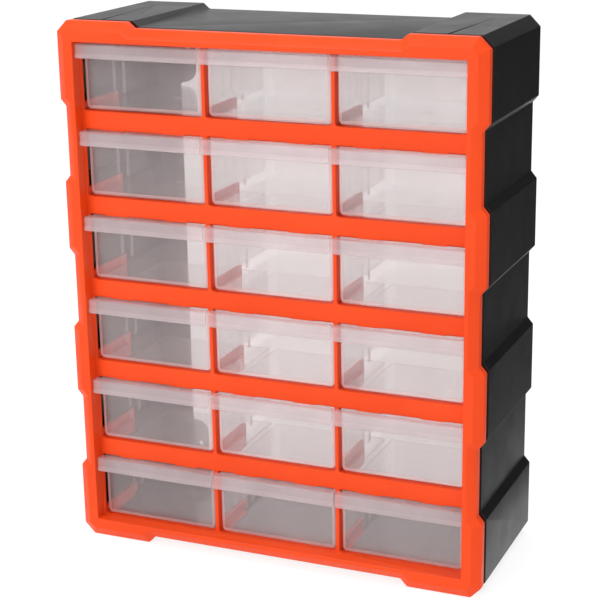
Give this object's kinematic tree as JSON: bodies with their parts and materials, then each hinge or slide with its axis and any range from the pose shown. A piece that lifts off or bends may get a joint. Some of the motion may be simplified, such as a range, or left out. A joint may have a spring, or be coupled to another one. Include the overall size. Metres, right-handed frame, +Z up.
{
  "type": "parts bin cabinet",
  "caption": "Cabinet of clear sliding drawers for small parts, with a dark stepped shell open at the back and an orange front frame.",
  "frame": {"origin": "middle of the underside, on the surface the cabinet stands on", "axes": "+Z up, +X to the right seen from the front, drawers face -Y and slide out towards -Y"},
  "size_m": [0.38, 0.152, 0.47],
  "materials": {
    "body_black": "fine-grained black moulded plastic",
    "bezel_orange": "satin orange moulded plastic",
    "drawer_clear": "clear moulded plastic with a slight haze"
  },
  "bodies": {
    "cabinet": {"body_shell": "body_black", "front_bezel": "bezel_orange"},
    "drawer_r1c1": {"drawer_r1c1": "drawer_clear"},
    "drawer_r1c2": {"drawer_r1c2": "drawer_clear"},
    "drawer_r1c3": {"drawer_r1c3": "drawer_clear"},
    "drawer_r2c1": {"drawer_r2c1": "drawer_clear"},
    "drawer_r2c2": {"drawer_r2c2": "drawer_clear"},
    "drawer_r2c3": {"drawer_r2c3": "drawer_clear"},
    "drawer_r3c1": {"drawer_r3c1": "drawer_clear"},
    "drawer_r3c2": {"drawer_r3c2": "drawer_clear"},
    "drawer_r3c3": {"drawer_r3c3": "drawer_clear"},
    "drawer_r4c1": {"drawer_r4c1": "drawer_clear"},
    "drawer_r4c2": {"drawer_r4c2": "drawer_clear"},
    "drawer_r4c3": {"drawer_r4c3": "drawer_clear"},
    "drawer_r5c1": {"drawer_r5c1": "drawer_clear"},
    "drawer_r5c2": {"drawer_r5c2": "drawer_clear"},
    "drawer_r5c3": {"drawer_r5c3": "drawer_clear"},
    "drawer_r6c1": {"drawer_r6c1": "drawer_clear"},
    "drawer_r6c2": {"drawer_r6c2": "drawer_clear"},
    "drawer_r6c3": {"drawer_r6c3": "drawer_clear"}
  },
  "joints": [
    {"name": "slide_r1c1", "type": "slide", "parent": "cabinet", "child": "drawer_r1c1", "axis": [0, -1, 0], "range_m": [0, 0.11]},
    {"name": "slide_r1c2", "type": "slide", "parent": "cabinet", "child": "drawer_r1c2", "axis": [0, -1, 0], "range_m": [0, 0.11]},
    {"name": "slide_r1c3", "type": "slide", "parent": "cabinet", "child": "drawer_r1c3", "axis": [0, -1, 0], "range_m": [0, 0.11]},
    {"name": "slide_r2c1", "type": "slide", "parent": "cabinet", "child": "drawer_r2c1", "axis": [0, -1, 0], "range_m": [0, 0.11]},
    {"name": "slide_r2c2", "type": "slide", "parent": "cabinet", "child": "drawer_r2c2", "axis": [0, -1, 0], "range_m": [0, 0.11]},
    {"name": "slide_r2c3", "type": "slide", "parent": "cabinet", "child": "drawer_r2c3", "axis": [0, -1, 0], "range_m": [0, 0.11]},
    {"name": "slide_r3c1", "type": "slide", "parent": "cabinet", "child": "drawer_r3c1", "axis": [0, -1, 0], "range_m": [0, 0.11]},
    {"name": "slide_r3c2", "type": "slide", "parent": "cabinet", "child": "drawer_r3c2", "axis": [0, -1, 0], "range_m": [0, 0.11]},
    {"name": "slide_r3c3", "type": "slide", "parent": "cabinet", "child": "drawer_r3c3", "axis": [0, -1, 0], "range_m": [0, 0.11]},
    {"name": "slide_r4c1", "type": "slide", "parent": "cabinet", "child": "drawer_r4c1", "axis": [0, -1, 0], "range_m": [0, 0.11]},
    {"name": "slide_r4c2", "type": "slide", "parent": "cabinet", "child": "drawer_r4c2", "axis": [0, -1, 0], "range_m": [0, 0.11]},
    {"name": "slide_r4c3", "type": "slide", "parent": "cabinet", "child": "drawer_r4c3", "axis": [0, -1, 0], "range_m": [0, 0.11]},
    {"name": "slide_r5c1", "type": "slide", "parent": "cabinet", "child": "drawer_r5c1", "axis": [0, -1, 0], "range_m": [0, 0.11]},
    {"name": "slide_r5c2", "type": "slide", "parent": "cabinet", "child": "drawer_r5c2", "axis": [0, -1, 0], "range_m": [0, 0.11]},
    {"name": "slide_r5c3", "type": "slide", "parent": "cabinet", "child": "drawer_r5c3", "axis": [0, -1, 0], "range_m": [0, 0.11]},
    {"name": "slide_r6c1", "type": "slide", "parent": "cabinet", "child": "drawer_r6c1", "axis": [0, -1, 0], "range_m": [0, 0.11]},
    {"name": "slide_r6c2", "type": "slide", "parent": "cabinet", "child": "drawer_r6c2", "axis": [0, -1, 0], "range_m": [0, 0.11]},
    {"name": "slide_r6c3", "type": "slide", "parent": "cabinet", "child": "drawer_r6c3", "axis": [0, -1, 0], "range_m": [0, 0.11]}
  ]
}
